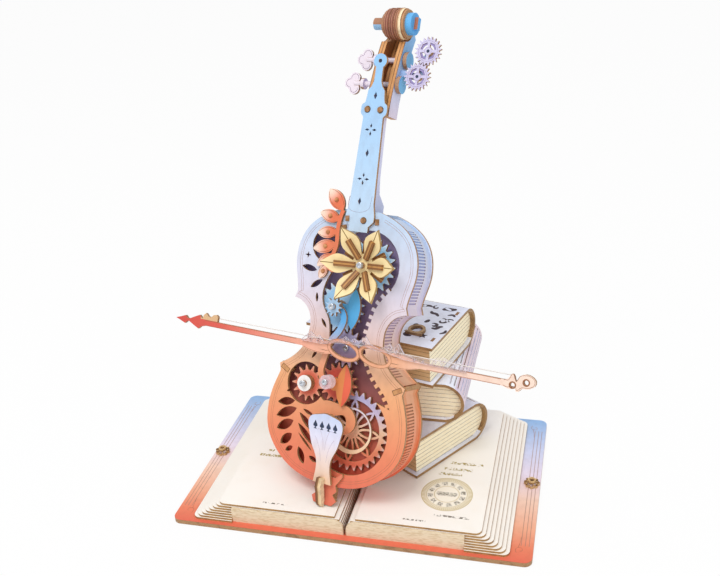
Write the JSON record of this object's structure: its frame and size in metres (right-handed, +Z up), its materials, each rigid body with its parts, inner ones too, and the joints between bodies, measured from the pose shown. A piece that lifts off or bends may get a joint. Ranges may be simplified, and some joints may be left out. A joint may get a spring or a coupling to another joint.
{
  "type": "mechanical music box",
  "caption": "Wooden mechanical music box: a small cello with open gears, a flower and a swinging bow leaning on a pile of closed books that stand on a large open book.",
  "frame": {"origin": "centre of the base plate's underside", "axes": "+Z up, +X to the right along the long side of the base, -Y towards the front of the open book"},
  "size_m": [0.2387, 0.1649, 0.2867],
  "materials": {
    "base_print": "satin printed plywood with brown cut edges",
    "page_white": "satin white faced plywood",
    "panel_print": "satin printed plywood",
    "brown_wood": "matte stained plywood",
    "cover_print": "satin printed plywood with brown cut edges",
    "raw_wood": "matte bare plywood edges",
    "cello_print": "satin printed plywood, blue to coral",
    "rib_print": "satin printed plywood, blue to coral",
    "inner_plum": "matte dark plywood",
    "gear_lavender": "satin printed plywood",
    "cream_print": "satin printed plywood",
    "gear_red": "satin printed plywood",
    "leaf_orange": "satin printed plywood",
    "gear_blue": "satin printed plywood",
    "gear_grey": "satin printed plywood",
    "coral_print": "satin printed plywood",
    "bow_print": "satin printed plywood, coral to peach",
    "arm_print": "satin printed plywood, blue to orange",
    "tail_print": "satin printed plywood, blue to cream",
    "board_blue": "satin printed plywood",
    "peg_print": "satin printed plywood",
    "clear_plastic": "clear acrylic",
    "hair_cord": "plain white cord",
    "bright_steel": "plain brushed steel",
    "gold_brass": "plain brass"
  },
  "bodies": {
    "stand": {"base_plate": "base_print", "left_pages": "page_white", "right_pages": "page_white", "left_front_panel": "panel_print", "right_front_panel": "panel_print", "cover_clasps": "brown_wood", "bottom_book_cover": "cover_print", "middle_book_cover": "cover_print", "top_book_cover": "cover_print", "bottom_book_pages": "raw_wood", "middle_book_pages": "raw_wood", "top_book_pages": "raw_wood", "top_book_ring": "brown_wood", "front_plate": "cello_print", "mid_plate": "inner_plum", "back_plate": "cello_print", "lower_rib": "rib_print", "waist_ribs": "rib_print", "upper_ribs": "rib_print", "plate_posts": "gold_brass", "corner_posts": "brown_wood", "tailpiece": "tail_print", "tail_hook": "brown_wood", "endpin_block": "coral_print", "fingerboard": "board_blue", "neck": "rib_print", "pegbox": "rib_print", "scroll_drum": "brown_wood", "scroll_bracket": "gear_lavender", "leaf_vine": "coral_print", "movement_bedplate": "gold_brass", "steel_comb": "bright_steel"},
    "moon_gear": {"moon_gear": "gear_lavender", "moon_crescent": "cream_print"},
    "centre_gear": {"centre_gear": "gear_red", "centre_leaf": "leaf_orange"},
    "output_gear": {"output_gear": "gear_red", "output_button": "cream_print", "spring_barrel": "gold_brass"},
    "relay_gear": {"relay_gear": "gear_grey"},
    "mid_gear": {"mid_gear": "gear_blue", "mid_leaf": "gear_blue", "mid_hub_gear": "gear_grey"},
    "flower": {"flower_gear": "gear_blue", "flower_petals": "cream_print", "flower_bars": "brown_wood"},
    "bow": {"bow_stick": "bow_print", "bow_tip": "coral_print", "bow_frog": "bow_print", "bow_hair": "hair_cord", "bow_crystal": "clear_plastic", "link_arm": "arm_print", "crystal_pin": "clear_plastic"},
    "scroll_gear_lower": {"scroll_gear_lower": "gear_lavender"},
    "scroll_gear_upper": {"scroll_gear_upper": "gear_lavender"},
    "peg_lower": {"peg_lower": "peg_print"},
    "peg_upper": {"peg_upper": "peg_print"},
    "pinned_cylinder": {"pinned_cylinder": "gold_brass"},
    "governor": {"governor_fly": "gold_brass"},
    "winding_key": {"winding_key": "bright_steel"}
  },
  "joints": [
    {"name": "moon_spin", "type": "hinge", "parent": "stand", "child": "moon_gear", "pos_m": [-0.00112, -0.03249, 0.05455], "axis": [-0.2346, -0.8754, 0.4226], "continuous": true},
    {"name": "centre_spin", "type": "hinge", "parent": "stand", "child": "centre_gear", "pos_m": [-0.01081, -0.02011, 0.07953], "axis": [-0.2346, -0.8754, 0.4226], "continuous": true},
    {"name": "output_spin", "type": "hinge", "parent": "stand", "child": "output_gear", "pos_m": [-0.03185, -0.01625, 0.07587], "axis": [-0.2346, -0.8754, 0.4226], "continuous": true},
    {"name": "relay_spin", "type": "hinge", "parent": "stand", "child": "relay_gear", "pos_m": [-0.00653, -0.01146, 0.09983], "axis": [-0.2346, -0.8754, 0.4226], "continuous": true},
    {"name": "mid_spin", "type": "hinge", "parent": "stand", "child": "mid_gear", "pos_m": [-0.01161, 0.00053, 0.12184], "axis": [-0.2346, -0.8754, 0.4226], "continuous": true},
    {"name": "flower_spin", "type": "hinge", "parent": "stand", "child": "flower", "pos_m": [0.00564, 0.00783, 0.14655], "axis": [-0.2346, -0.8754, 0.4226], "continuous": true},
    {"name": "bow_swing", "type": "hinge", "parent": "stand", "child": "bow", "pos_m": [-0.01348, -0.00648, 0.12522], "axis": [-0.2346, -0.8754, 0.4226], "range_deg": [-5, 5]},
    {"name": "scroll_lower_spin", "type": "hinge", "parent": "stand", "child": "scroll_gear_lower", "pos_m": [0.02871, 0.05799, 0.24905], "axis": [-0.2346, -0.8754, 0.4226], "continuous": true},
    {"name": "scroll_upper_spin", "type": "hinge", "parent": "stand", "child": "scroll_gear_upper", "pos_m": [0.03484, 0.06305, 0.26293], "axis": [-0.2346, -0.8754, 0.4226], "continuous": true},
    {"name": "peg_lower_turn", "type": "hinge", "parent": "stand", "child": "peg_lower", "pos_m": [0.00835, 0.05995, 0.24418], "axis": [0.9681, -0.2499, 0.0198], "continuous": true},
    {"name": "peg_upper_turn", "type": "hinge", "parent": "stand", "child": "peg_upper", "pos_m": [0.01111, 0.07161, 0.25613], "axis": [0.9681, -0.2499, 0.0198], "continuous": true},
    {"name": "cylinder_spin", "type": "hinge", "parent": "stand", "child": "pinned_cylinder", "pos_m": [-0.01615, -0.01794, 0.05456], "axis": [0.9681, -0.2499, 0.0198], "continuous": true},
    {"name": "governor_spin", "type": "hinge", "parent": "stand", "child": "governor", "pos_m": [-0.03561, -0.01117, 0.05116], "axis": [-0.2346, -0.8754, 0.4226], "continuous": true},
    {"name": "key_turn", "type": "hinge", "parent": "stand", "child": "winding_key", "pos_m": [-0.02575, 0.00651, 0.06488], "axis": [-0.2346, -0.8754, 0.4226], "continuous": true}
  ],
  "couplings": [
    {"joint": "centre_spin", "follows": "moon_spin", "ratio": -3.75},
    {"joint": "output_spin", "follows": "moon_spin", "ratio": 4.3269},
    {"joint": "relay_spin", "follows": "moon_spin", "ratio": 4.0179},
    {"joint": "mid_spin", "follows": "moon_spin", "ratio": -2.9605},
    {"joint": "flower_spin", "follows": "moon_spin", "ratio": 2.6786},
    {"joint": "cylinder_spin", "follows": "moon_spin", "ratio": -2},
    {"joint": "governor_spin", "follows": "moon_spin", "ratio": -6},
    {"joint": "scroll_upper_spin", "follows": "scroll_lower_spin", "ratio": -1}
  ]
}
